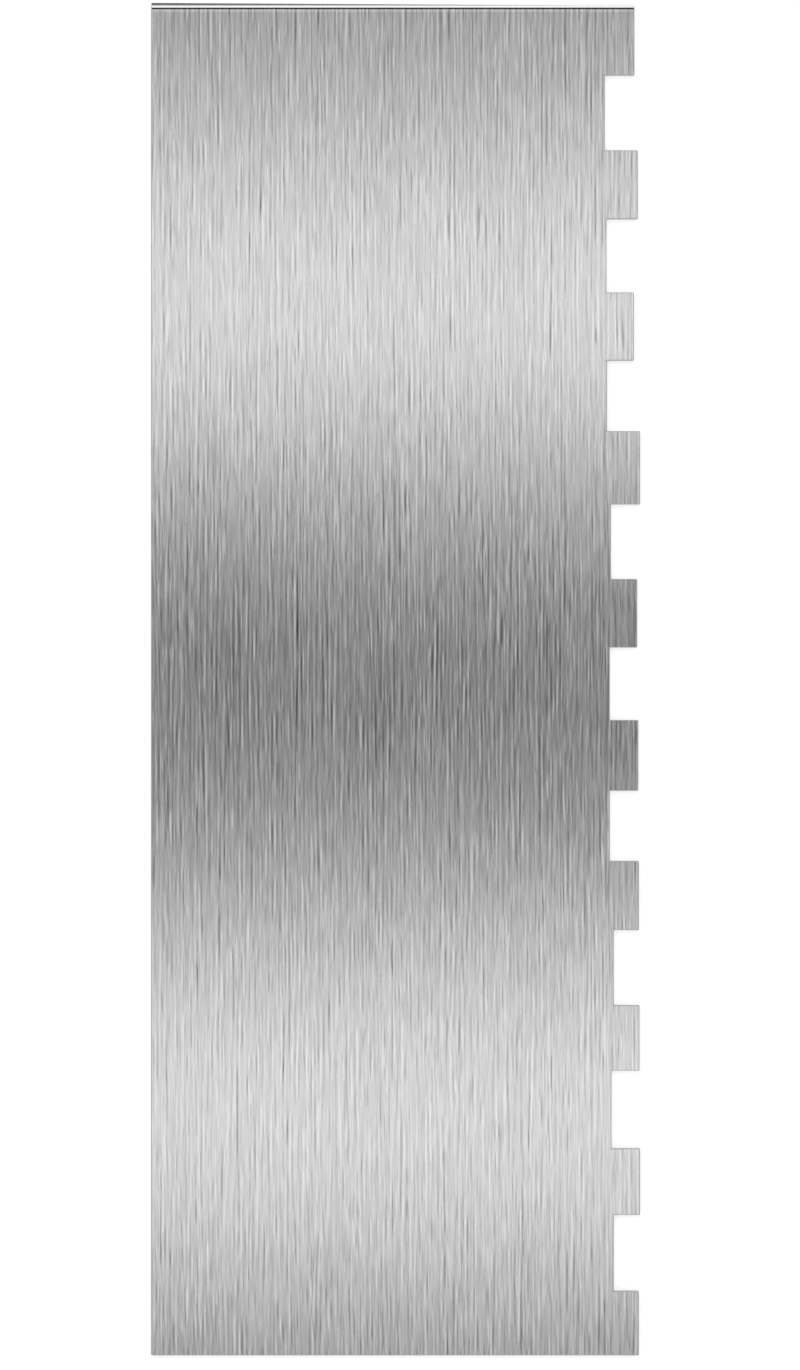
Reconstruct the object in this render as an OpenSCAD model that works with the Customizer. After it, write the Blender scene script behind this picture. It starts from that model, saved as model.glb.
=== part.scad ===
// Cake comb: one flat sheet of brushed steel with square teeth along one long edge.
// It lies flat. X runs from the straight edge to the teeth, Y along the comb, Z through the sheet.

/* [Sheet] */
// Thickness of the sheet
sheet_t = 1.2; // [1:0.1:3]
// Width from the straight edge to the notch floors
spine_w = 82; // [40:1:140]

/* [Teeth] */
// Number of teeth
tooth_count = 10; // [3:1:16]
// Length of a tooth along the edge
tooth_len = 12.2; // [6:0.1:30]
// Length of a notch between two teeth
notch_len = 13.2; // [6:0.1:30]
// How far a tooth stands out from the notch floors
tooth_depth = 5; // [3:0.1:12]

/* [Edges] */
// Width of the bevel that takes the burr off every edge and corner
edge_break = 0.15; // [0.1:0.05:0.3]
// Radius that the shear left on the upper edge of the top end
end_roll = 0.5; // [0.3:0.05:0.6]

/* [Hidden] */

// The teeth are cut a little unevenly. Each list holds departures from the nominal size,
// from the bottom of the comb to its top, and starts again on a comb with more teeth.
tooth_len_off = [-0.7, -0.3, -0.5, 0.2, 0.5, 0.1, 0.9, 0, 0.1, 0.3];
notch_len_off = [0.4, 0.7, 0.2, -0.7, -0.3, 0.1, -0.6, -0.1, 0.2];
tip_off = [0.2, 0.4, 0.3, 0.2, 0.1, -0.1, 0.4, -0.7, 0, -0.6];
floor_off = [0.7, 0.3, 0.7, 0, 0, 0.2, -0.5, -0.6, -0.9];

last_tooth = tooth_count - 1;
teeth = [0:last_tooth];
notches = [0:last_tooth - 1];

// Sizes of tooth i and of the notch above it, with their departures
function pick(list, i) = list[i % len(list)];
function tooth_size(i) = tooth_len + pick(tooth_len_off, i);
function notch_size(i) = notch_len + pick(notch_len_off, i);
function tip_x(i) = spine_w + tooth_depth + pick(tip_off, i);
function floor_x(i) = spine_w + pick(floor_off, i);

// Where tooth i begins and ends along the comb, measured from the bottom end
function tooth_start(i) = i == 0 ? 0 : tooth_end(i - 1) + notch_size(i - 1);
function tooth_end(i) = tooth_start(i) + tooth_size(i);

comb_len = tooth_end(last_tooth);
comb_w = max([for (i = teeth) tip_x(i)]);
// The plain part of the sheet stops at the deepest notch floor
plain_w = min([for (i = notches) floor_x(i)]);
// Teeth and notch floors are rooted in the plain part as deep as a tooth stands out
root_x = plain_w - tooth_depth;

// Rectangle with its four corners clipped by the edge break
module broken_rect(w, h) {
    b = edge_break;
    polygon([[b, 0], [w - b, 0], [w, b], [w, h - b], [w - b, h], [b, h], [0, h - b], [0, b]]);
}

// The same with its far upper corner rounded by the shear
module sheared_rect(w, h) {
    intersection() {
        broken_rect(w, h);
        union() {
            square([w - end_roll, h]);
            square([w, h - end_roll]);
            translate([w - end_roll, h - end_roll]) circle(r = end_roll, $fn = 48);
        }
    }
}

// Stretch of sheet from corner p to corner q with its edges broken, sheared at its far end or not
module stretch(p, q, sheared = false) {
    w = q.x - p.x;
    h = q.y - p.y;
    translate([p.x, p.y, 0])
        intersection() {
            // seen from above
            linear_extrude(sheet_t) broken_rect(w, h);
            // seen along Y
            translate([0, h, 0]) rotate([90, 0, 0]) linear_extrude(h) broken_rect(w, sheet_t);
            // seen along X
            rotate([90, 0, 90]) linear_extrude(w) {
                if (sheared) sheared_rect(h, sheet_t);
                else broken_rect(h, sheet_t);
            }
        }
}

// The plain part, from the straight edge to the deepest notch floor
module plain_part() {
    stretch([0, 0], [plain_w, comb_len], sheared = true);
}

// Tooth i; the last one ends in the sheared end of the comb
module tooth(i) {
    stretch([root_x, tooth_start(i)], [tip_x(i), tooth_end(i)], sheared = i == last_tooth);
}

// The strip that brings the floor of notch i out to its own depth, run halfway into both teeth
module notch_floor(i) {
    low = tooth_end(i) - tooth_size(i) / 2;
    high = tooth_start(i + 1) + tooth_size(i + 1) / 2;
    stretch([root_x, low], [floor_x(i), high]);
}

module comb() {
    color("#b4b4b4")
        translate([-comb_w / 2, -comb_len / 2, 0])
            union() {
                plain_part();
                for (i = teeth) tooth(i);
                for (i = notches) notch_floor(i);
            }
}

comb();
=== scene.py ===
"""A cake comb of brushed sheet steel, lying flat under soft strip lights.

The comb is one sheet. Its two faces are brushed lengthwise, and its edges are cut square and
lightly rounded. At its top end the shear rolled the upper edge over and tore the sheet off below
it. Everything is in metres.
"""

import logging
import math
from dataclasses import dataclass
from enum import IntEnum
from functools import cached_property, reduce
from typing import ClassVar

import bpy
import numpy as np
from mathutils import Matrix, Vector


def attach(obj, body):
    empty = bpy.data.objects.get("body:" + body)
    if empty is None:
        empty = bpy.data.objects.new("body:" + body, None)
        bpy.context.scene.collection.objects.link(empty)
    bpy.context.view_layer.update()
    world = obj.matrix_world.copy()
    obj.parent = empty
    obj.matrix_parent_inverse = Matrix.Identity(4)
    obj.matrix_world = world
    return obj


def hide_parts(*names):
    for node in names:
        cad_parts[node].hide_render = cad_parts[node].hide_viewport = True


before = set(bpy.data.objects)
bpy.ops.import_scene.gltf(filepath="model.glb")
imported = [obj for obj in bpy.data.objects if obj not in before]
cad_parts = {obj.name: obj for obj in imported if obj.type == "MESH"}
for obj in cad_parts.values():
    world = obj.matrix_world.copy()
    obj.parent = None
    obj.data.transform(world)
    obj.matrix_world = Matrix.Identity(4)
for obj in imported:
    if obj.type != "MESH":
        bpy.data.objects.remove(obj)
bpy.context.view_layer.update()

MM = 0.001
log = logging.getLogger("cake_comb")


class Surface(IntEnum):
    """The kinds of surface on the comb, each the number of its material slot."""

    FACE = 0
    CUT_EDGE = 1
    ROLLED_END = 2
    TORN_END = 3


@dataclass(frozen=True)
class CombSizes:
    """Sizes of the comb, measured from the bottom of its straight edge.

    The shear left a roll on the upper edge of the top end. Below it the sheet tore off along a
    slope, which stands out most at the straight edge.

    Attributes:
        thickness: Thickness of the sheet.
        spine_width: Nominal distance from the straight edge to a notch's floor.
        tooth_length: Nominal length of a tooth, along the comb.
        notch_length: Nominal length of a notch, along the comb.
        tooth_depth: Nominal distance from a notch's floor to a tooth's tip.
        edge_radius: Rounding of the edges and of the teeth's corners.
        root_radius: Rounding of the notches' inner corners.
        end_roll: Width of the roll at the top end.
        roll_drop: How far the roll goes down.
        tear_out: How far the torn slope stands out at the straight edge.
        tear_length: Distance from the straight edge at which it would stand out no more.
        tear_power: Power of the length that is left, by which the slope shrinks.
        tear_height: Height at which the slope begins.
        tooth_length_off: How far each tooth departs from the nominal length, in millimetres,
            from the bottom of the comb to its top. The next three are in the same order.
        notch_length_off: How far each notch departs from its nominal length.
        tip_off: How far each tooth's tip departs from its nominal distance.
        floor_off: How far each notch's floor departs from its nominal distance.
    """

    thickness: float = 1.2 * MM
    spine_width: float = 82 * MM
    tooth_length: float = 12.2 * MM
    notch_length: float = 13.2 * MM
    tooth_depth: float = 5 * MM
    edge_radius: float = 0.15 * MM
    root_radius: float = 0.04 * MM
    end_roll: float = 0.5 * MM
    roll_drop: float = 0.16 * MM
    tear_out: float = 0.61 * MM
    tear_length: float = 115 * MM
    tear_power: float = 1.2
    tear_height: float = 0.78 * MM
    tooth_length_off: tuple[float, ...] = (-0.7, -0.3, -0.5, 0.2, 0.5, 0.1, 0.9, 0, 0.1, 0.3)
    notch_length_off: tuple[float, ...] = (0.4, 0.7, 0.2, -0.7, -0.3, 0.1, -0.6, -0.1, 0.2)
    tip_off: tuple[float, ...] = (0.2, 0.4, 0.3, 0.2, 0.1, -0.1, 0.4, -0.7, 0, -0.6)
    floor_off: tuple[float, ...] = (0.7, 0.3, 0.7, 0, 0, 0.2, -0.5, -0.6, -0.9)

    @cached_property
    def tips(self) -> np.ndarray:
        """Distance of each tooth's tip from the straight edge."""
        return self.spine_width + self.tooth_depth + MM * np.array(self.tip_off)

    @cached_property
    def floors(self) -> np.ndarray:
        """Distance of each notch's floor from the straight edge."""
        return self.spine_width + MM * np.array(self.floor_off)

    @cached_property
    def borders(self) -> np.ndarray:
        """Borders between the teeth and notches, from the bottom of the comb to its top.

        Returns:
            Distance from the bottom end at which each one begins, and where the last ends.
        """
        lengths = np.empty(len(self.tip_off) + len(self.floor_off))
        lengths[0::2] = self.tooth_length + MM * np.array(self.tooth_length_off)
        lengths[1::2] = self.notch_length + MM * np.array(self.notch_length_off)
        return np.concatenate([[0.0], np.cumsum(lengths)])

    @property
    def length(self) -> float:
        """Length of the whole comb."""
        return float(self.borders[-1])

    @property
    def width(self) -> float:
        """Width of the whole comb, across its longest tooth."""
        return float(self.tips.max())


@dataclass(frozen=True)
class Grid:
    """How finely the comb's surfaces are divided.

    Attributes:
        rows_per_band: Rows of quads along each tooth and each notch.
        plain_columns: Columns of quads from the straight edge to the tooth roots.
        root_columns: Columns from there to the line of the notch floors.
        tooth_columns: Columns from that line to a tooth's tip.
        corner_steps: Steps round a corner of the outline.
        edge_steps: Steps round an edge, from a face to the cut edge.
        wall_steps: Steps down the cut edge, from one rounding to the other.
    """

    rows_per_band: int = 4
    plain_columns: int = 10
    root_columns: int = 2
    tooth_columns: int = 3
    corner_steps: int = 5
    edge_steps: int = 6
    wall_steps: int = 8


@dataclass(frozen=True)
class BakeLayout:
    """Where the comb's surfaces lie on its bake map, in shares of the map's sides.

    Attributes:
        face_left: Left side of the upper face and of the lower face.
        face_width: Width of each face.
        margin: Room below and above everything.
        strips: Number of strips that the rim is cut into.
        strip_left: Left side of the first strip.
        strip_pitch: Distance from one strip to the next.
        strip_width: Width of a strip.
        strip_height: Height of a strip.
    """

    face_left: tuple[float, float] = (0.004, 0.486)
    face_width: float = 0.474
    margin: float = 0.005
    strips: int = 4
    strip_left: float = 0.966
    strip_pitch: float = 0.008
    strip_width: float = 0.006
    strip_height: float = 0.94


@dataclass(frozen=True)
class Rim:
    """Points of the comb's outline, counterclockwise seen from above.

    Attributes:
        anchor: Number of the face's vertex that each point is rounded from.
        outer: Place of each point on the outside of the sheet.
        normal: Outward direction of the cut edge at each point.
        rolled: How far each point belongs to the rolled end, from 0 to 1.
    """

    anchor: np.ndarray
    outer: np.ndarray
    normal: np.ndarray
    rolled: np.ndarray

    def along(self) -> np.ndarray:
        """Distance round the outline at each point, and at the first one once more."""
        steps = np.linalg.norm(np.roll(self.outer, -1, axis=0) - self.outer, axis=1)
        return np.concatenate([[0.0], np.cumsum(steps)])


@dataclass(frozen=True)
class Faces:
    """Faces of one kind, all with as many corners.

    Attributes:
        corners: Vertex numbers by face and corner.
        grain: Place of each corner on the grain map.
        bake: Place of each corner on the bake map.
        surface: Material slot of each face.
    """

    corners: np.ndarray
    grain: np.ndarray
    bake: np.ndarray
    surface: np.ndarray

    def pick(self, chosen: np.ndarray, corners: list[int]) -> "Faces":
        """Picks some of the faces, with only some of their corners.

        Args:
            chosen: Whether each face is picked.
            corners: Numbers of the corners that it keeps.

        Returns:
            The picked faces.
        """
        return Faces(
            self.corners[chosen][:, corners],
            self.grain[chosen][:, corners],
            self.bake[chosen][:, corners],
            self.surface[chosen],
        )


class SheetMesh:
    """The comb's closed surface: two flat faces joined by a rounded rim."""

    def __init__(self, sizes: CombSizes, grid: Grid, layout: BakeLayout) -> None:
        """Lays out the numbering of the faces' vertices and the outline.

        Args:
            sizes: Sizes of the comb.
            grid: How finely its surfaces are divided.
            layout: Where they lie on the bake map.
        """
        self.sizes = sizes
        self.grid = grid
        self.layout = layout
        self.origin = np.array([sizes.width / 2, sizes.length / 2])
        self.bands = len(sizes.borders) - 1
        self.steps = np.arange(self.bands * grid.rows_per_band + 1) / grid.rows_per_band
        self.floor_column = grid.plain_columns + grid.root_columns
        self.last_column = self.floor_column + grid.tooth_columns
        self.number = self._number_vertices()
        self.upper = self._face_points(sizes.end_roll)
        self.lower = self._face_points(sizes.edge_radius)
        self.rim = self._rim()

    def _number_vertices(self) -> np.ndarray:
        """Numbers the vertices of a face.

        Returns:
            A table by row and column, which holds -1 where a notch leaves no vertex.
        """
        columns = np.arange(self.last_column + 1)
        in_tooth = self.steps % 2 <= 1
        there = in_tooth[:, None] | (columns <= self.floor_column)[None, :]
        number = np.full(there.shape, -1)
        number[there] = np.arange(there.sum())
        return number

    def _face_points(self, end_inset: float) -> np.ndarray:
        """Vertices of one face, a grid whose outline lies inside the comb's by the edge radius.

        Rows follow the borders between teeth and notches. In each row the columns run evenly from
        the straight edge to the tooth roots, on to the line of the notch floors, and in a tooth on
        to its tip. The floor line runs straight across a tooth from one notch floor to the next.

        Args:
            end_inset: How far the face stops short of the top end.

        Returns:
            The places of the vertices in the plane of the sheet.
        """
        s, g = self.sizes, self.grid
        r = s.edge_radius
        border = np.arange(self.bands + 1)
        rows = s.borders.copy()
        rows[0] += r
        rows[1:-1:2] -= r
        rows[2:-1:2] += r
        rows[-1] -= end_inset
        y = np.interp(self.steps, border, rows)

        nearest_notch = np.clip((border - 1) // 2, 0, len(s.floors) - 1)
        floor = np.interp(self.steps, border, s.floors[nearest_notch]) - r
        tip = s.tips[self.steps.astype(int) // 2] - r
        root = np.full_like(y, s.floors.min() - s.tooth_depth)
        left = np.full_like(y, r)

        def spread(low: np.ndarray, high: np.ndarray, count: int) -> np.ndarray:
            """Even columns from one line to the next, without the last."""
            return low[:, None] + (high - low)[:, None] * (np.arange(count) / count)[None, :]

        x = np.concatenate(
            [
                spread(left, root, g.plain_columns),
                spread(root, floor, g.root_columns),
                spread(floor, tip, g.tooth_columns),
                tip[:, None],
            ],
            axis=1,
        )
        points = np.stack([x, np.broadcast_to(y[:, None], x.shape)], axis=-1)
        return points[self.number >= 0] - self.origin

    def _runs(self) -> list[tuple[np.ndarray, float]]:
        """Straight runs of the outline, counterclockwise from the bottom of the straight edge.

        Returns:
            The vertex numbers of each run, and the angle of its outward direction.
        """
        n, per, floor = self.number, self.grid.rows_per_band, self.floor_column
        right, up, left, down = 0.0, math.pi / 2, math.pi, -math.pi / 2
        runs = [(n[0, :], down)]
        last_tooth = self.bands // 2
        for tooth in range(last_tooth + 1):
            low, high = 2 * tooth * per, (2 * tooth + 1) * per
            runs.append((n[low : high + 1, -1], right))
            if tooth < last_tooth:
                runs.append((n[high, floor:][::-1], up))
                runs.append((n[high : high + per + 1, floor], right))
                runs.append((n[high + per, floor:], down))
        runs.append((n[-1, ::-1], up))
        runs.append((n[::-1, 0], left))
        return runs

    def _at_end(self, places: np.ndarray) -> np.ndarray:
        """Whether each place lies at the sheared end, within the width of its roll."""
        return places[:, 1] > self.origin[1] - self.sizes.end_roll

    def _rim(self) -> Rim:
        """Joins the straight runs by a small arc at each corner, round a tooth or into a root.

        A point belongs to the rolled end by the square of the part of its normal along Y.

        Returns:
            The points of the outline.
        """
        s, steps = self.sizes, self.grid.corner_steps
        anchors, outers, angles = [], [], []
        runs = self._runs()
        for (run, angle), (_, after) in zip(runs, runs[1:] + runs[:1], strict=True):
            outward = np.array([math.cos(angle), math.sin(angle)])
            turn = (after - angle + math.pi) % (2 * math.pi) - math.pi
            sweep = angle + turn * np.arange(steps + 1) / steps
            arc = np.stack([np.cos(sweep), np.sin(sweep)], axis=-1)
            corner = self.lower[run[-1]]
            if turn > 0:
                bend = corner + s.edge_radius * arc
            else:
                centre = corner + (s.edge_radius + s.root_radius) * (arc[0] + arc[-1])
                bend = centre - s.root_radius * arc
            anchors += [run[1:-1], np.full(steps + 1, run[-1])]
            outers += [self.lower[run[1:-1]] + s.edge_radius * outward, bend]
            angles += [np.full(len(run) - 2, angle), sweep]
        outer = np.concatenate(outers)
        angle = np.concatenate(angles)
        normal = np.stack([np.cos(angle), np.sin(angle)], axis=-1)
        rolled = np.where(self._at_end(outer), np.clip(normal[:, 1], 0, 1) ** 2, 0.0)
        return Rim(np.concatenate(anchors), outer, normal, rolled)

    def _ring(self, anchor: np.ndarray, height: float, drop: np.ndarray, turn: float) -> np.ndarray:
        """One ring of the rounded edge, part of a quarter of an ellipse from a face to the cut edge.

        A point goes from its anchor to the outside as the sine of the turn, and away from the face
        as one less its cosine.

        Args:
            anchor: Places in the plane of the sheet that the edge is rounded from.
            height: Height of the face.
            drop: How far the rounding goes down at each point, or up where it is negative.
            turn: Angle turned through, from 0 to a right angle.

        Returns:
            The places of the ring's vertices.
        """
        plan = anchor + (self.rim.outer - anchor) * math.sin(turn)
        return np.column_stack([plan, height - drop * (1 - math.cos(turn))])

    def _rings(self) -> tuple[np.ndarray, np.ndarray]:
        """Rings of the rim, from just under the upper face to just above the lower one.

        Returns:
            Places and normals, by ring and point of the outline.
        """
        s, g, rim = self.sizes, self.grid, self.rim
        drop = s.edge_radius + (s.roll_drop - s.edge_radius) * rim.rolled
        reach = s.edge_radius + (s.end_roll - s.edge_radius) * rim.rolled
        small = np.full(len(rim.outer), s.edge_radius)
        turns = np.arange(1, g.edge_steps + 1) / g.edge_steps * math.pi / 2
        above = [self._ring(self.upper[rim.anchor], s.thickness, drop, t) for t in turns]
        below = [self._ring(self.lower[rim.anchor], 0.0, -small, t) for t in turns[::-1]]
        shares = np.arange(1, g.wall_steps) / g.wall_steps
        wall = [above[-1] + (below[0] - above[-1]) * share for share in shares]

        tilts = np.concatenate([turns, np.full(len(wall), math.pi / 2), math.pi - turns[::-1]])
        flatness = np.ones((len(tilts), len(rim.outer)))
        flatness[: len(turns)] = reach / drop
        sideways = np.sin(tilts)[:, None, None] * rim.normal[None, :, :]
        upwards = (np.cos(tilts)[:, None] * flatness)[:, :, None]
        return np.stack(above + wall + below), np.concatenate([sideways, upwards], axis=-1)

    def _tear(self, places: np.ndarray, normals: np.ndarray) -> tuple[np.ndarray, np.ndarray]:
        """Slopes the lower part of the top end outwards.

        A point near the end moves along Y by the tear at its X times how far it lies down the
        slope. The tear shrinks from the straight edge as a power of the length that is left. A
        normal leans back as the slope does.

        Args:
            places: Place of each vertex.
            normals: Normal of each vertex.

        Returns:
            The same, with the tear in them.
        """
        s = self.sizes
        left = np.clip(1 - (places[:, 0] + self.origin[0]) / s.tear_length, 0, 1)
        height = s.tear_height - s.edge_radius
        down = (s.tear_height - places[:, 2]) / height
        out = np.where(self._at_end(places), s.tear_out * left**s.tear_power, 0.0)
        torn = places.copy()
        torn[:, 1] += out * np.clip(down, 0, 1)
        leant = normals.copy()
        leant[:, 2] += np.where((down > 0) & (down <= 1), out / height * normals[:, 1], 0.0)
        return torn, leant / np.linalg.norm(leant, axis=1, keepdims=True)

    def vertices(self) -> tuple[np.ndarray, np.ndarray]:
        """Every vertex: the upper face's, the lower face's, and then ring after ring.

        Returns:
            Places and normals by vertex.
        """
        count = len(self.upper)
        rings, ring_normals = self._rings()
        places = [
            np.column_stack([self.upper, np.full(count, self.sizes.thickness)]),
            np.column_stack([self.lower, np.zeros(count)]),
            rings.reshape(-1, 3),
        ]
        normals = [
            np.tile([0.0, 0.0, 1.0], (count, 1)),
            np.tile([0.0, 0.0, -1.0], (count, 1)),
            ring_normals.reshape(-1, 3),
        ]
        return self._tear(np.concatenate(places), np.concatenate(normals))

    def _flat(self, lower: bool) -> Faces:
        """Quads of one flat face, with the faces side by side on the bake map.

        Args:
            lower: Whether it is the lower face, which is seen from below.

        Returns:
            The face's quads.
        """
        n, layout = self.number, self.layout
        quads = np.stack([n[:-1, :-1], n[:-1, 1:], n[1:, 1:], n[1:, :-1]], axis=-1)
        in_tooth = self.steps[:-1].astype(int) % 2 == 0
        columns = np.arange(self.last_column)
        quads = quads[in_tooth[:, None] | (columns < self.floor_column)[None, :]]
        if lower:
            quads = quads[:, ::-1]
        places = (self.lower if lower else self.upper)[quads]
        share = (places + self.origin) / (2 * self.origin)
        corner = np.array([layout.face_left[int(lower)], layout.margin])
        bake = corner + share * np.array([layout.face_width, 1 - 2 * layout.margin])
        first = len(self.upper) if lower else 0
        surface = np.full(len(quads), Surface.FACE)
        return Faces(quads + first, places, bake, surface)

    def _round(self) -> Faces:
        """Quads of the rim, cut into strips that stand side by side on the bake map.

        On the grain map a corner lies at its distance down the rim and its distance round it.

        Returns:
            The rim's quads, of which some have two corners on one vertex.
        """
        rim, layout, count = self.rim, self.layout, len(self.rim.anchor)
        rings, _ = self._rings()
        ring_numbers = 2 * len(self.upper) + np.arange(rings.shape[0] * count).reshape(-1, count)
        level = np.vstack([rim.anchor[None, :], ring_numbers, len(self.upper) + rim.anchor[None, :]])
        after = np.roll(level, -1, axis=1)
        quads = np.stack([level[:-1], level[1:], after[1:], after[:-1]], axis=-1)

        top = np.append(self.upper[rim.anchor[0]], self.sizes.thickness)
        bottom = np.append(self.lower[rim.anchor[0]], 0.0)
        section = np.vstack([top, rings[:, 0], bottom])
        fall = np.linalg.norm(np.diff(section, axis=0), axis=1)
        down = np.concatenate([[0.0], np.cumsum(fall)])
        along = rim.along()
        grain = np.empty(quads.shape + (2,))
        grain[..., 0] = np.stack([down[:-1], down[1:], down[1:], down[:-1]], axis=-1)[:, None, :]
        grain[..., 1] = np.stack([along[:-1], along[:-1], along[1:], along[1:]], axis=-1)[None, :, :]

        strip_length = along[-1] / layout.strips
        strip = np.floor(along[:-1] / strip_length)
        bake = np.empty_like(grain)
        left = layout.strip_left + strip * layout.strip_pitch
        bake[..., 0] = left[None, :, None] + grain[..., 0] / down[-1] * layout.strip_width
        rise = grain[..., 1] / strip_length - strip[None, :, None]
        bake[..., 1] = layout.margin + rise * layout.strip_height

        surface = np.full(quads.shape[:2], Surface.CUT_EDGE)
        mostly_rolled = rim.rolled > 0.5
        sheared = mostly_rolled & np.roll(mostly_rolled, -1)
        surface[: self.grid.edge_steps, sheared] = Surface.ROLLED_END
        surface[self.grid.edge_steps :, sheared] = Surface.TORN_END
        return Faces(
            quads.reshape(-1, 4),
            grain.reshape(-1, 4, 2),
            bake.reshape(-1, 4, 2),
            surface.ravel(),
        )

    def faces(self) -> list[Faces]:
        """Every face of the sheet, each a quad or a triangle.

        Returns:
            The two flat faces, the rim's quads, and its triangles, which lie where a corner is
            rounded from one vertex of the upper face or of the lower one.
        """
        rim = self._round()
        pinched_top = rim.corners[:, 0] == rim.corners[:, 3]
        pinched_bottom = rim.corners[:, 1] == rim.corners[:, 2]
        whole = ~(pinched_top | pinched_bottom)
        every = [0, 1, 2, 3]
        return [
            self._flat(lower=False),
            self._flat(lower=True),
            rim.pick(whole, every),
            rim.pick(pinched_top, [0, 1, 2]),
            rim.pick(pinched_bottom, [0, 1, 3]),
        ]

    def build(self, name: str) -> bpy.types.Object:
        """Puts the surface into a new object at the origin.

        Args:
            name: Name of the object.

        Returns:
            The object, with its two maps, the slot of each face and its normals set.
        """
        places, normals = self.vertices()
        kinds = self.faces()
        mesh = bpy.data.meshes.new(name)
        mesh.from_pydata(places, [], [face for kind in kinds for face in kind.corners.tolist()])
        mesh.polygons.foreach_set("material_index", np.concatenate([kind.surface for kind in kinds]))
        maps = {"grain": [kind.grain for kind in kinds], "OFBake": [kind.bake for kind in kinds]}
        for map_name, parts in maps.items():
            corners = np.concatenate([part.ravel() for part in parts])
            mesh.uv_layers.new(name=map_name).data.foreach_set("uv", corners)
        mesh.shade_smooth()
        mesh.normals_split_custom_set_from_vertices(normals)
        mesh.update()
        made = bpy.data.objects.new(name, mesh)
        bpy.context.scene.collection.objects.link(made)
        return made


Source = float | tuple[float, ...] | bpy.types.NodeSocket
Inputs = dict[int | str, Source]


class Nodes:
    """Adds nodes to one node tree and joins them."""

    def __init__(self, tree: bpy.types.NodeTree) -> None:
        """Keeps the tree that the nodes go into."""
        self.tree = tree

    def feed(self, socket: bpy.types.NodeSocket, source: Source) -> None:
        """Links an input to a socket, or sets it to a value.

        Args:
            socket: The input.
            source: The socket or the value that feeds it.
        """
        if isinstance(source, bpy.types.NodeSocket):
            self.tree.links.new(source, socket)
        else:
            socket.default_value = source

    def add(self, kind: str, inputs: Inputs | None = None, **settings: object) -> bpy.types.Node:
        """Adds a node.

        Args:
            kind: Blender's name for the type of node.
            inputs: Values or sockets that feed its inputs, by name or number.
            settings: Properties to set on it.

        Returns:
            The new node.
        """
        node = self.tree.nodes.new(kind)
        for key, value in settings.items():
            setattr(node, key, value)
        for key, source in (inputs or {}).items():
            self.feed(node.inputs[key], source)
        return node

    def math(self, operation: str, *values: Source) -> bpy.types.NodeSocket:
        """Result of a Math node on one to three values."""
        node = self.add("ShaderNodeMath", dict(enumerate(values)), operation=operation)
        return node.outputs[0]

    def total(self, values: list[bpy.types.NodeSocket]) -> bpy.types.NodeSocket:
        """Sum of several values."""
        return reduce(lambda one, other: self.math("ADD", one, other), values)

    def point(self, x: Source, y: Source, z: Source) -> bpy.types.NodeSocket:
        """Vector of three values."""
        return self.add("ShaderNodeCombineXYZ", {0: x, 1: y, 2: z}).outputs[0]

    def step(self, value: Source, low: float, high: float) -> bpy.types.NodeSocket:
        """Smooth step of a value, from 0 at the first limit to 1 at the second."""
        inputs = {"Value": value, "From Min": low, "From Max": high}
        return self.add("ShaderNodeMapRange", inputs, interpolation_type="SMOOTHSTEP").outputs[0]

    def noise(self, place: Source, detail: float = 0.0) -> bpy.types.NodeSocket:
        """Noise with features one unit wide, about zero."""
        inputs = {"Vector": place, "Scale": 1.0, "Detail": detail, "Roughness": 0.5}
        return self.math("SUBTRACT", self.add("ShaderNodeTexNoise", inputs).outputs[0], 0.5)

    def curve(self, value: Source, stops: list[tuple[float, float]]) -> bpy.types.NodeSocket:
        """Curve that runs straight from each of several stops to the next.

        Args:
            value: Place on the curve, from 0 to 1.
            stops: Place and height of each stop, in order.

        Returns:
            Height of the curve.
        """
        node = self.add("ShaderNodeValToRGB", {0: value})
        ramp = node.color_ramp
        ramp.interpolation = "LINEAR"
        while len(ramp.elements) < len(stops):
            ramp.elements.new(1.0)
        for element, (place, height) in zip(ramp.elements, stops, strict=True):
            element.position = place
            element.color = (height, height, height, 1.0)
        return node.outputs[0]


def new_group(name: str, inputs: dict[str, str], outputs: dict[str, str]) -> bpy.types.NodeTree:
    """Makes an empty node group.

    Args:
        name: Name of the group.
        inputs: Type of each input socket, by name.
        outputs: Type of each output socket, by name.

    Returns:
        The group's tree.
    """
    tree = bpy.data.node_groups.new(name, "ShaderNodeTree")
    for direction, sockets in (("INPUT", inputs), ("OUTPUT", outputs)):
        for label, kind in sockets.items():
            tree.interface.new_socket(label, in_out=direction, socket_type=f"NodeSocket{kind}")
    return tree


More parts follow.
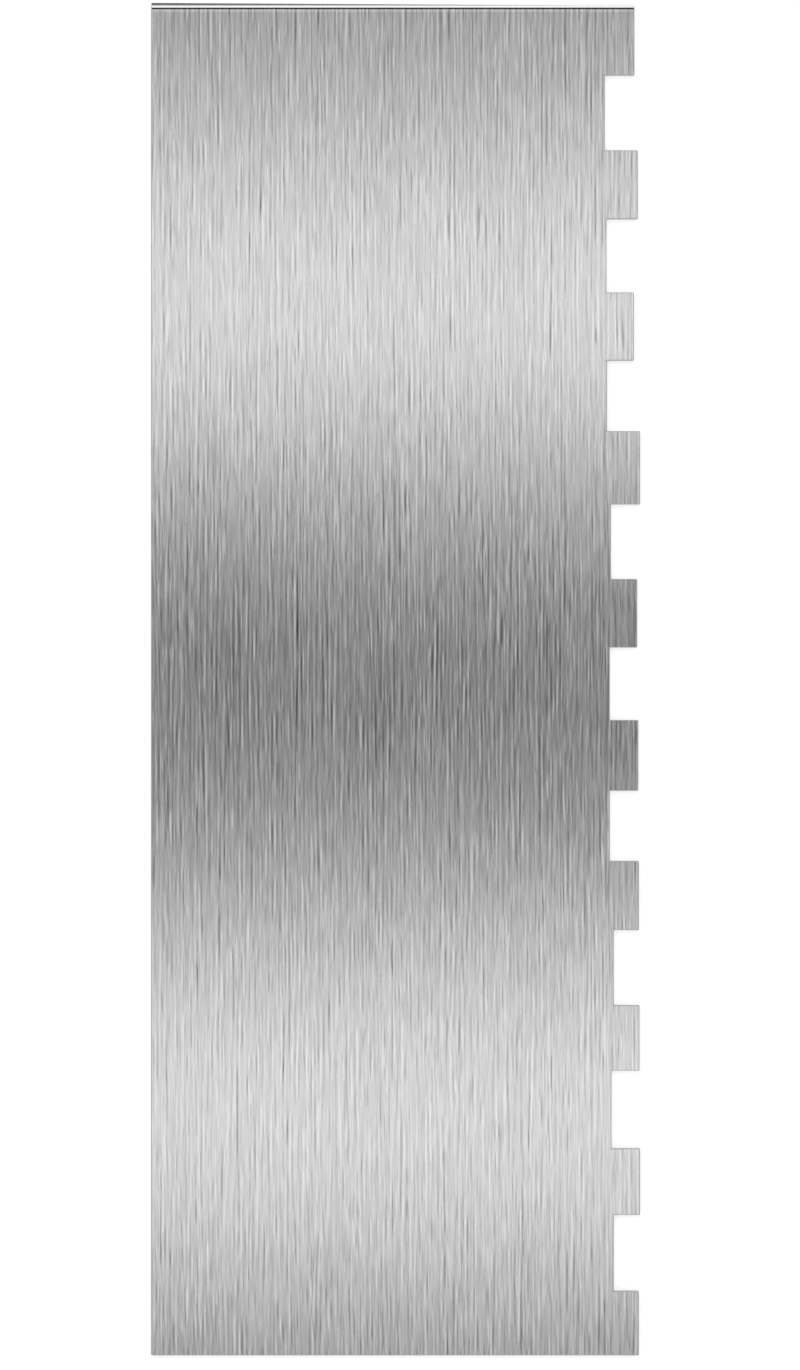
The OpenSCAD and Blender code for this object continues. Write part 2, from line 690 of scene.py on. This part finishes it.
@dataclass(frozen=True)
class StrokeLayer:
    """One layer of brush strokes: fine straight lines, shown in patches where they begin and end.

    The lines are noise drawn far out along the strokes, less the mean of the same noise a line to
    either side, which makes bright and dark ones alternate.

    Attributes:
        width: Width of its strokes, as a share of the finish's stroke width.
        length: Length of its strokes, as a share of the finish's stroke length.
        lean: Stroke widths that it goes sideways in one stroke length.
        weight: Its part in the sum.
        shift: Where it is cut out of the noise, which keeps layers apart.
        patch_edge: How softly its patches begin and end.
        SIDE_STEP: Distance from a line to those beside it, in strokes.
        RUN: How many times as long as a patch a line is.
        PATCH_WIDTH: Width of a patch, in strokes.
    """

    width: float
    length: float
    lean: float
    weight: float
    shift: float
    patch_edge: float = 0.12
    SIDE_STEP: ClassVar[float] = 1.2
    RUN: ClassVar[float] = 3.0
    PATCH_WIDTH: ClassVar[float] = 1.8

    def build(self, nodes: Nodes, place: tuple[Source, Source, Source]) -> bpy.types.NodeSocket:
        """Adds the layer to a tree.

        Args:
            nodes: The tree.
            place: Place across, along and through, in stroke widths, lengths and widths.

        Returns:
            The layer's value, about zero.
        """
        across, along, through = place
        x = nodes.math("DIVIDE", nodes.math("MULTIPLY_ADD", along, self.lean, across), self.width)
        y = nodes.math("DIVIDE", along, self.length)
        run = nodes.math("DIVIDE", y, self.RUN)
        z = nodes.math("ADD", through, self.shift)
        here = nodes.noise(nodes.point(x, run, z))
        sides = [
            nodes.noise(nodes.point(nodes.math("ADD", x, side), run, z))
            for side in (-self.SIDE_STEP, self.SIDE_STEP)
        ]
        beside = nodes.math("MULTIPLY", nodes.total(sides), 0.5)
        wide = nodes.math("DIVIDE", x, self.PATCH_WIDTH)
        patch = nodes.noise(nodes.point(wide, y, nodes.math("SUBTRACT", self.shift, through)))
        shown = nodes.step(patch, -self.patch_edge, self.patch_edge)
        lines = nodes.math("MULTIPLY", nodes.math("SUBTRACT", here, beside), shown)
        return nodes.math("MULTIPLY", lines, self.weight)


@dataclass(frozen=True)
class Strokes:
    """Node group of brush strokes, which run along Y of the place that it is given.

    Attributes:
        tone: Layers that change the brightness.
        shine: Layers that change the roughness.
        height: Layers that change the relief.
    """

    tone: tuple[StrokeLayer, ...] = (
        StrokeLayer(width=1.0, length=1.0, lean=0.0, weight=1.0, shift=0.4),
        StrokeLayer(width=0.75, length=0.7, lean=0.14, weight=0.8, shift=5.3),
        StrokeLayer(width=1.15, length=1.3, lean=-0.12, weight=0.6, shift=9.1),
        StrokeLayer(width=16.0, length=4.0, lean=0.0, weight=0.07, shift=21.2),
    )
    shine: tuple[StrokeLayer, ...] = (
        StrokeLayer(width=0.9, length=1.0, lean=-0.1, weight=1.0, shift=33.4),
    )
    height: tuple[StrokeLayer, ...] = (
        StrokeLayer(width=1.0, length=1.1, lean=0.1, weight=1.0, shift=45.1, patch_edge=0.35),
    )

    def build(self) -> bpy.types.NodeTree:
        """Makes the group.

        Returns:
            The group, which gives tone, shine and height, each about zero.
        """
        outputs = {"Tone": self.tone, "Shine": self.shine, "Height": self.height}
        sizes = ("Stroke Width", "Stroke Length")
        inputs = {"Place": "Vector"} | dict.fromkeys(sizes, "Float")
        tree = new_group("brush strokes", inputs, dict.fromkeys(outputs, "Float"))
        nodes = Nodes(tree)
        given = nodes.add("NodeGroupInput").outputs
        x, y, z = nodes.add("ShaderNodeSeparateXYZ", {0: given["Place"]}).outputs
        across = nodes.math("DIVIDE", x, given["Stroke Width"])
        along = nodes.math("DIVIDE", y, given["Stroke Length"])
        through = nodes.math("DIVIDE", z, given["Stroke Width"])
        place = (across, along, through)
        sums = {
            name: nodes.total([layer.build(nodes, place) for layer in layers])
            for name, layers in outputs.items()
        }
        nodes.add("NodeGroupOutput", sums)
        return tree


@dataclass(frozen=True)
class PaintedRollLight:
    """Node group of a painted dark line near the rolled end, and of its fringe. The line is painted
    shade that stands in for the dark reflection where the face turns into the roll.

    The fringe is a painted highlight, a brighter strip just behind the line.

    Attributes:
        end: Y of the comb's sheared end.
        middle: Height of the middle of the sheet, above which both lie.
        line: Distances from the end between which the painted dark line lies.
        fringe: Distances from the end between which the painted highlight lies.
        blur: Width over which their sides fade.
        ripple_length: Length along the end of one ripple in them.
        ripple_depth: How far a ripple moves them.
        ripple_detail: Number of finer ripples laid over each one.
    """

    end: float
    middle: float
    line: tuple[float, float] = (0.46 * MM, 0.7 * MM)
    fringe: tuple[float, float] = (0.8 * MM, 1.2 * MM)
    blur: float = 0.06 * MM
    ripple_length: float = 9 * MM
    ripple_depth: float = 0.05 * MM
    ripple_detail: float = 2.0

    def _band(self, nodes: Nodes, depth: Source, limits: tuple[float, float]) -> bpy.types.NodeSocket:
        """Band of the end that lies between two depths.

        Args:
            nodes: The tree.
            depth: Distance from the end.
            limits: The two depths, the smaller one first.

        Returns:
            1 within the band and 0 outside it.
        """
        near, far = limits
        begun = nodes.step(depth, near - self.blur / 2, near + self.blur / 2)
        left = nodes.step(depth, far + self.blur / 2, far - self.blur / 2)
        return nodes.math("MULTIPLY", begun, left)

    def build(self) -> bpy.types.NodeTree:
        """Makes the group.

        Returns:
            The group, which gives 1 on the line or the fringe and 0 elsewhere.
        """
        bands = {"Line": self.line, "Fringe": self.fringe}
        tree = new_group("painted roll light", {"Place": "Vector"}, dict.fromkeys(bands, "Float"))
        nodes = Nodes(tree)
        given = nodes.add("NodeGroupInput").outputs
        x, y, z = nodes.add("ShaderNodeSeparateXYZ", {0: given["Place"]}).outputs
        across = nodes.point(nodes.math("DIVIDE", x, self.ripple_length), 0.0, 0.0)
        ripple = nodes.noise(across, self.ripple_detail)
        depth = nodes.math("SUBTRACT", self.end, y)
        depth = nodes.math("MULTIPLY_ADD", ripple, self.ripple_depth, depth)
        upper = nodes.math("GREATER_THAN", z, self.middle)
        masks = {
            name: nodes.math("MULTIPLY", self._band(nodes, depth, limits), upper)
            for name, limits in bands.items()
        }
        nodes.add("NodeGroupOutput", masks)
        return tree


@dataclass(frozen=True)
class EdgeBreak:
    """Node group of the uneven line on a cut edge below which the sheet broke.

    Attributes:
        ripple_length: Length along the edge of one ripple in the line.
        ripple_height: How far a ripple moves it.
        ripple_detail: Number of finer ripples laid over each one.
        blur: Width over which it fades.
    """

    ripple_length: float = 2.5 * MM
    ripple_height: float = 0.35 * MM
    ripple_detail: float = 3.0
    blur: float = 0.1 * MM

    def build(self) -> bpy.types.NodeTree:
        """Makes the group.

        Returns:
            The group, which gives 1 above the line and 0 below it. The place that it is given
            runs along the edge in X and through the sheet in Y.
        """
        inputs = {"Place": "Vector", "Break Height": "Float"}
        tree = new_group("edge break", inputs, {"Above": "Float"})
        nodes = Nodes(tree)
        given = nodes.add("NodeGroupInput").outputs
        along, height, _ = nodes.add("ShaderNodeSeparateXYZ", {0: given["Place"]}).outputs
        ripples = nodes.point(nodes.math("DIVIDE", along, self.ripple_length), 0.0, 0.0)
        ripple = nodes.noise(ripples, self.ripple_detail)
        above = nodes.math("SUBTRACT", height, given["Break Height"])
        above = nodes.math("MULTIPLY_ADD", ripple, self.ripple_height, above)
        nodes.add("NodeGroupOutput", {"Above": nodes.step(above, -self.blur / 2, self.blur / 2)})
        return tree


@dataclass(frozen=True)
class Effects:
    """The node groups that the finishes share.

    Attributes:
        strokes: Brush strokes.
        painted_roll_light: The painted dark line of shade near the rolled end, and its painted
            highlight.
        edge_break: The line below which a cut edge broke.
    """

    strokes: bpy.types.NodeTree
    painted_roll_light: bpy.types.NodeTree
    edge_break: bpy.types.NodeTree


@dataclass(frozen=True)
class SteelFinish:
    """A finish of the steel, one material.

    Attributes:
        name: Name of the material.
        colour: Brightness of the bare metal, which is neutral.
        roughness: Roughness of the surface.
        anisotropy: How much rougher it is across the strokes than along them.
        stroke_width: Width of a brush stroke.
        stroke_length: Length of a brush stroke.
        tone: How much the strokes change the brightness.
        shine: How much the strokes change the roughness.
        tone_scatter: How far brighter strokes are rougher too.
        relief: Depth of the strokes.
    """

    name: str
    colour: float
    roughness: float
    anisotropy: float
    stroke_width: float
    stroke_length: float
    tone: float
    shine: float
    tone_scatter: float
    relief: float

    def place(self, nodes: Nodes) -> bpy.types.NodeSocket:
        """Place that the strokes are read at, which runs along them in Y."""
        return nodes.add("ShaderNodeTexCoord").outputs["Object"]

    def marks_and_painted_light(self, nodes: Nodes, effects: Effects) -> Source:
        """Share of the brightness that is left by the finish's own colour changes, real or painted
        light; none here.
        """
        return 1.0

    def build(self, effects: Effects) -> bpy.types.Material:
        """Makes the material.

        Args:
            effects: The shared node groups.

        Returns:
            The material.
        """
        material = bpy.data.materials.new(self.name)
        material.use_nodes = True
        material.node_tree.nodes.clear()
        nodes = Nodes(material.node_tree)
        sizes = {
            "Place": self.place(nodes),
            "Stroke Width": self.stroke_width,
            "Stroke Length": self.stroke_length,
        }
        strokes = nodes.add("ShaderNodeGroup", sizes, node_tree=effects.strokes)
        tone = nodes.math("MULTIPLY_ADD", strokes.outputs["Tone"], self.tone, 1.0)
        bare = nodes.math("MULTIPLY", tone, self.colour)
        brightness = nodes.math("MULTIPLY", bare, self.marks_and_painted_light(nodes, effects))
        scatter = nodes.math(
            "MULTIPLY_ADD", strokes.outputs["Tone"], self.tone_scatter, strokes.outputs["Shine"]
        )
        shine = nodes.math("MULTIPLY_ADD", scatter, self.shine, 1.0)
        height = nodes.math("MULTIPLY", strokes.outputs["Height"], self.relief)
        grey = nodes.add("ShaderNodeCombineColor", dict.fromkeys(range(3), brightness))
        bump = nodes.add("ShaderNodeBump", {"Height": height, "Distance": 1.0})
        tangent = nodes.add("ShaderNodeTangent", direction_type="UV_MAP", uv_map="grain")
        inputs = {
            "Base Color": grey.outputs[0],
            "Metallic": 1.0,
            "Roughness": nodes.math("MULTIPLY", shine, self.roughness),
            "Anisotropic": self.anisotropy,
            "Normal": bump.outputs[0],
            "Tangent": tangent.outputs[0],
        }
        steel = nodes.add("ShaderNodeBsdfPrincipled", inputs)
        nodes.add("ShaderNodeOutputMaterial", {"Surface": steel.outputs[0]})
        return material


@dataclass(frozen=True)
class BrushedFace(SteelFinish):
    """The two faces, brushed lengthwise, with a painted dark line of shade and a painted highlight near
    the top end of one.

    Attributes:
        painted_shade_tone: Share of the brightness that is left on the painted dark line, which is
            painted shade.
        painted_highlight_tone: How much brighter the painted highlight behind the line is.
    """

    name: str = "brushed steel face"
    colour: float = 0.7
    roughness: float = 0.2
    anisotropy: float = 0.9
    stroke_width: float = 0.355 * MM
    stroke_length: float = 6 * MM
    tone: float = 0.96
    shine: float = 0.38
    tone_scatter: float = 1.4
    relief: float = 0.07 * MM
    painted_shade_tone: float = 0.02
    painted_highlight_tone: float = 0.27

    def marks_and_painted_light(self, nodes: Nodes, effects: Effects) -> Source:
        """Darkens the line of the shear and brightens its fringe.

        Args:
            nodes: The material's tree.
            effects: The shared node groups.

        Returns:
            Share of the brightness that is left, which is more than 1 on the painted highlight.
        """
        place = {"Place": nodes.add("ShaderNodeTexCoord").outputs["Object"]}
        shear = nodes.add("ShaderNodeGroup", place, node_tree=effects.painted_roll_light).outputs
        # Painted shade on the dark line and a painted highlight on the fringe, both in the base colour.
        dark = nodes.math("MULTIPLY_ADD", shear["Line"], self.painted_shade_tone - 1.0, 1.0)
        return nodes.math("MULTIPLY_ADD", shear["Fringe"], self.painted_highlight_tone, dark)


@dataclass(frozen=True)
class RolledEnd(BrushedFace):
    """The edge that the shear rolled over, worn bright by the work."""

    name: str = "bright rolled end"
    colour: float = 0.98
    roughness: float = 0.18
    anisotropy: float = 0.0
    tone: float = 0.1
    shine: float = 0.4
    relief: float = 0.005 * MM


@dataclass(frozen=True)
class CutEdge(SteelFinish):
    """The cut edges: a burnished upper part over a darker break, scored through the sheet.

    Attributes:
        break_height: Height at which the burnished part ends.
        break_tone: Brightness of the break, as a share of the burnished part's.
    """

    name: str = "cut steel edge"
    colour: float = 0.52
    roughness: float = 0.34
    anisotropy: float = 0.0
    stroke_width: float = 0.22 * MM
    stroke_length: float = 1.4 * MM
    tone: float = 0.6
    shine: float = 0.8
    tone_scatter: float = 0.0
    relief: float = 0.01 * MM
    break_height: float = 0.62 * MM
    break_tone: float = 0.8

    def place(self, nodes: Nodes) -> bpy.types.NodeSocket:
        """Place on the edge, laid out so that the strokes stand upright.

        Args:
            nodes: The material's tree.

        Returns:
            Distance along the edge in X, and height in the sheet in Y.
        """
        place = nodes.add("ShaderNodeTexCoord").outputs["Object"]
        x, y, z = nodes.add("ShaderNodeSeparateXYZ", {0: place}).outputs
        return nodes.point(nodes.math("ADD", x, y), z, 0.0)

    def marks_and_painted_light(self, nodes: Nodes, effects: Effects) -> Source:
        """Darkens the edge below the line of the break.

        Args:
            nodes: The material's tree.
            effects: The shared node groups.

        Returns:
            Share of the brightness that is left.
        """
        place = {"Place": self.place(nodes), "Break Height": self.break_height}
        above = nodes.add("ShaderNodeGroup", place, node_tree=effects.edge_break).outputs["Above"]
        return nodes.math("MULTIPLY_ADD", above, 1.0 - self.break_tone, self.break_tone)


@dataclass(frozen=True)
class TornEnd(CutEdge):
    """The end below the roll, where the sheet tore off rough and dark."""

    name: str = "torn steel end"
    roughness: float = 0.5
    break_height: float = 0.8 * MM
    break_tone: float = 0.4


@dataclass(frozen=True)
class CombSheet:
    """The comb: one sheet that stands for the CAD solid.

    Attributes:
        sizes: Its sizes.
        grid: How finely its surfaces are divided.
        layout: Where they lie on the bake map.
        finishes: Finish of each kind of surface, in the order of Surface.
    """

    sizes: CombSizes = CombSizes()
    grid: Grid = Grid()
    layout: BakeLayout = BakeLayout()
    finishes: tuple[SteelFinish, ...] = (BrushedFace(), CutEdge(), RolledEnd(), TornEnd())

    def build(self) -> bpy.types.Object:
        """Makes the comb, dresses it and puts it on its body.

        Returns:
            The comb.
        """
        comb = SheetMesh(self.sizes, self.grid, self.layout).build("comb_sheet")
        end = self.sizes.length / 2
        # Painted shade as a dark line near the rolled end, with a painted highlight behind it.
        painted_roll_light = PaintedRollLight(end=end, middle=self.sizes.thickness / 2)
        effects = Effects(Strokes().build(), painted_roll_light.build(), EdgeBreak().build())
        for finish in self.finishes:
            comb.data.materials.append(finish.build(effects))
        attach(comb, "root")
        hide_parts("comb")
        return comb


@dataclass(frozen=True)
class Studio:
    """A pale floor, a soft key light and a sky of soft strip lights that run across the comb.

    Attributes:
        strips: Level of the sky by degrees from straight overhead towards the top end (plus) or
            the bottom end (minus). It is the same all along X.
        horizon: Share of that level that is left near the horizon.
        haze: Heights of a direction between which the level grows from that share to the whole.
        key_power: Power of the key light.
        key_size: Length of its sides.
        key_place: Where it stands. It looks at the comb.
        floor_drop: Distance of the floor below the comb.
        floor_half: Half the length of the floor's sides.
        floor_colour: Brightness of the floor.
        floor_glow: Strength that brings it up to white where it is seen or mirrored.
    """

    strips: tuple[tuple[float, float], ...] = (
        (-90, 0.95),
        (-30, 1.0),
        (-20, 0.9),
        (-14, 0.05),
        (-10.5, 0.35),
        (-8, 1.05),
        (-6.5, 1.24),
        (-5, 1.02),
        (-2.5, 0.385),
        (0, 0.135),
        (2.5, 0.4),
        (5, 1.17),
        (6.5, 1.2),
        (8, 0.8),
        (10.5, 0.4),
        (14, 0.25),
        (20, 0.9),
        (30, 1.0),
        (90, 0.95),
    )
    horizon: float = 0.25
    haze: tuple[float, float] = (0.1, 0.7)
    key_power: float = 1.0
    key_size: float = 0.5
    key_place: tuple[float, float, float] = (-0.12, 0.35, 0.8)
    floor_drop: float = 0.02 * MM
    floor_half: float = 20.0
    floor_colour: float = 0.6
    floor_glow: float = 0.6

    def build(self) -> None:
        """Sets the light and lays the floor."""
        self._sky()
        self._key()
        self._floor()
        log.info("studio: sky of strip lights, key light and floor")

    def _sky(self) -> None:
        """Sky whose level depends on the angle from overhead, atan2 of y and z, and on z.

        The curve of the level begins 90 degrees before overhead and ends 90 degrees after it.
        """
        world = bpy.data.worlds.new("strip lights")
        world.use_nodes = True
        world.node_tree.nodes.clear()
        nodes = Nodes(world.node_tree)
        direction = nodes.add("ShaderNodeTexCoord").outputs["Generated"]
        _, y, z = nodes.add("ShaderNodeSeparateXYZ", {0: direction}).outputs
        rise = nodes.math("ABSOLUTE", z)
        angle = nodes.math("ARCTAN2", y, rise)
        place = nodes.math("MULTIPLY_ADD", angle, 1 / math.pi, 0.5)
        level = nodes.curve(place, [(0.5 + degrees / 180, level) for degrees, level in self.strips])
        clear = nodes.step(rise, *self.haze)
        fade = nodes.math("MULTIPLY_ADD", clear, 1.0 - self.horizon, self.horizon)
        light = nodes.add("ShaderNodeBackground", {"Color": nodes.math("MULTIPLY", level, fade)})
        nodes.add("ShaderNodeOutputWorld", {"Surface": light.outputs[0]})
        bpy.context.scene.world = world

    def _key(self) -> None:
        """Square lamp beyond the top end, which the camera doesn't see and the steel doesn't mirror."""
        light = bpy.data.lights.new("key light", "AREA")
        light.shape = "SQUARE"
        light.size = self.key_size
        light.energy = self.key_power
        lamp = bpy.data.objects.new("key light", light)
        place = Vector(self.key_place)
        lamp.location = place
        lamp.rotation_euler = (-place).to_track_quat("-Z", "Y").to_euler()
        lamp.visible_camera = False
        lamp.visible_glossy = False
        bpy.context.scene.collection.objects.link(lamp)

    def _floor(self) -> None:
        """Square floor, which is white where it is seen or mirrored."""
        half, z = self.floor_half, -self.floor_drop
        corners = [(-half, -half, z), (half, -half, z), (half, half, z), (-half, half, z)]
        mesh = bpy.data.meshes.new("floor")
        mesh.from_pydata(corners, [], [(0, 1, 2, 3)])
        material = bpy.data.materials.new("pale floor")
        material.use_nodes = True
        material.node_tree.nodes.clear()
        nodes = Nodes(material.node_tree)
        rays = nodes.add("ShaderNodeLightPath").outputs
        seen = nodes.math("MAXIMUM", rays["Is Camera Ray"], rays["Is Glossy Ray"])
        seen = nodes.math("MAXIMUM", seen, rays["Is Transmission Ray"])
        glow = nodes.math("MULTIPLY", seen, self.floor_glow)
        lit = nodes.add("ShaderNodeEmission", {"Strength": glow})
        colour = (self.floor_colour,) * 3 + (1.0,)
        paint = nodes.add("ShaderNodeBsdfDiffuse", {"Color": colour})
        both = nodes.add("ShaderNodeAddShader", {0: lit.outputs[0], 1: paint.outputs[0]})
        nodes.add("ShaderNodeOutputMaterial", {"Surface": both.outputs[0]})
        mesh.materials.append(material)
        floor = bpy.data.objects.new("floor", mesh)
        bpy.context.scene.collection.objects.link(floor)


@dataclass(frozen=True)
class Viewpoint:
    """The camera, straight above the comb.

    Attributes:
        picture: Width and height of the picture, in pixels.
        comb_left: Pixel column of the comb's straight edge.
        comb_top: Pixel row of its top end.
        comb_bottom: Pixel row of its bottom end.
        lens: Focal length, in millimetres.
        film: Length of the film's longer side, in millimetres.
    """

    picture: tuple[int, int] = (800, 1370)
    comb_left: float = 151.0
    comb_top: float = 5.2
    comb_bottom: float = 1355.6
    lens: float = 100.0
    film: float = 36.0

    def build(self, sizes: CombSizes) -> None:
        """Places the camera so that the comb's upper face fills the picture between those pixels.

        Args:
            sizes: Sizes of the comb.
        """
        width, height = self.picture
        pixel = sizes.length / (self.comb_bottom - self.comb_top)
        x = (width / 2 - self.comb_left) * pixel - sizes.width / 2
        y = ((self.comb_bottom + self.comb_top) / 2 - height / 2) * pixel
        z = sizes.thickness + height * pixel * self.lens / self.film
        data = bpy.data.cameras.new("camera")
        data.lens = self.lens
        data.sensor_width = self.film
        camera = bpy.data.objects.new("camera", data)
        camera.location = (x, y, z)
        bpy.context.scene.collection.objects.link(camera)
        bpy.context.scene.camera = camera
        log.info("camera: %.0f mm above the comb", (z - sizes.thickness) / MM)


def report(piece: bpy.types.Object) -> None:
    """Logs a piece's size and number of faces."""
    size = ", ".join(f"{side / MM:.2f}" for side in piece.dimensions)
    log.info("%s: %s mm, %d faces", piece.name, size, len(piece.data.polygons))


def main() -> None:
    """Builds the camera, the comb and the studio."""
    logging.basicConfig(level=logging.INFO, format="%(name)s: %(message)s")
    bpy.context.scene.view_settings.view_transform = "Standard"
    comb = CombSheet()
    Viewpoint().build(comb.sizes)
    report(comb.build())
    Studio().build()


if __name__ == "__main__":
    main()
